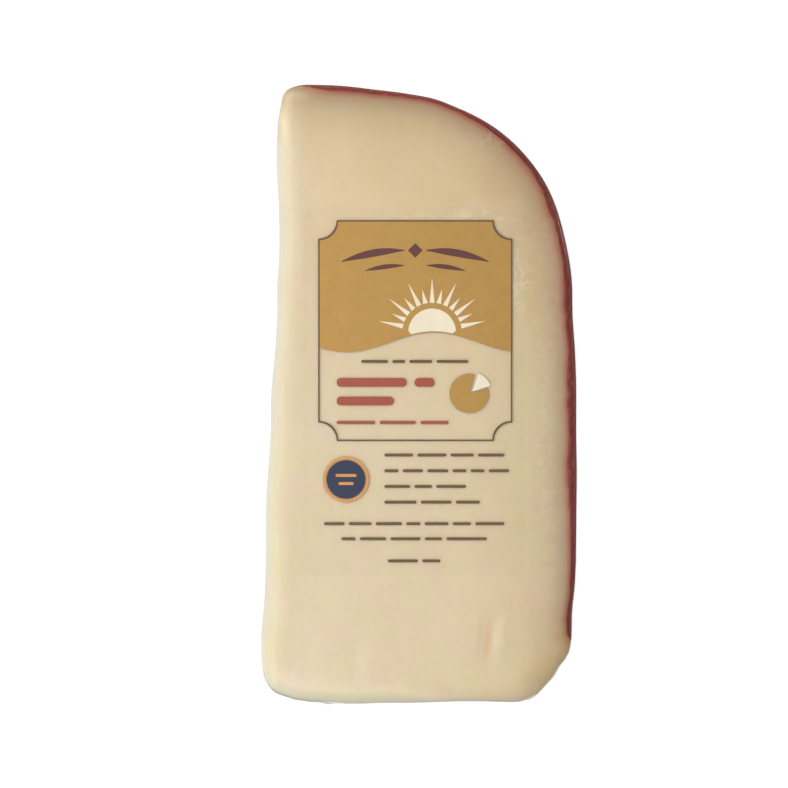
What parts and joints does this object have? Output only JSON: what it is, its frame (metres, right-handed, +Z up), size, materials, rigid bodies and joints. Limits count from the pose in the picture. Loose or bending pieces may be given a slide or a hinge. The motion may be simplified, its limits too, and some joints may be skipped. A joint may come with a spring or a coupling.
{
  "type": "cheese wedge",
  "caption": "Flat wedge of hard cheese with a red rind, cut from half a wheel and sealed in tight clear film, with a clear printed label on top.",
  "frame": {"origin": "on the surface it rests on, under the middle of its box", "axes": "+Z up, the lower cut face on z = 0; the cheese wheel's axis runs along X, so +Y points from the tip cut to the thick rim, and +X from the mid-height cut to the wheel's flat face"},
  "size_m": [0.054, 0.107, 0.0365],
  "materials": {
    "cheese": "pale cream cheese paste, faintly mottled, darker beside the rind",
    "rind": "dark red coating, satin",
    "film": "clear, glossy, pulled tight",
    "label": "clear plastic label with a printed gold field, thin brown outlines and plain bars"
  },
  "bodies": {
    "root": {"wedge": "cheese", "label": "label"}
  },
  "joints": []
}
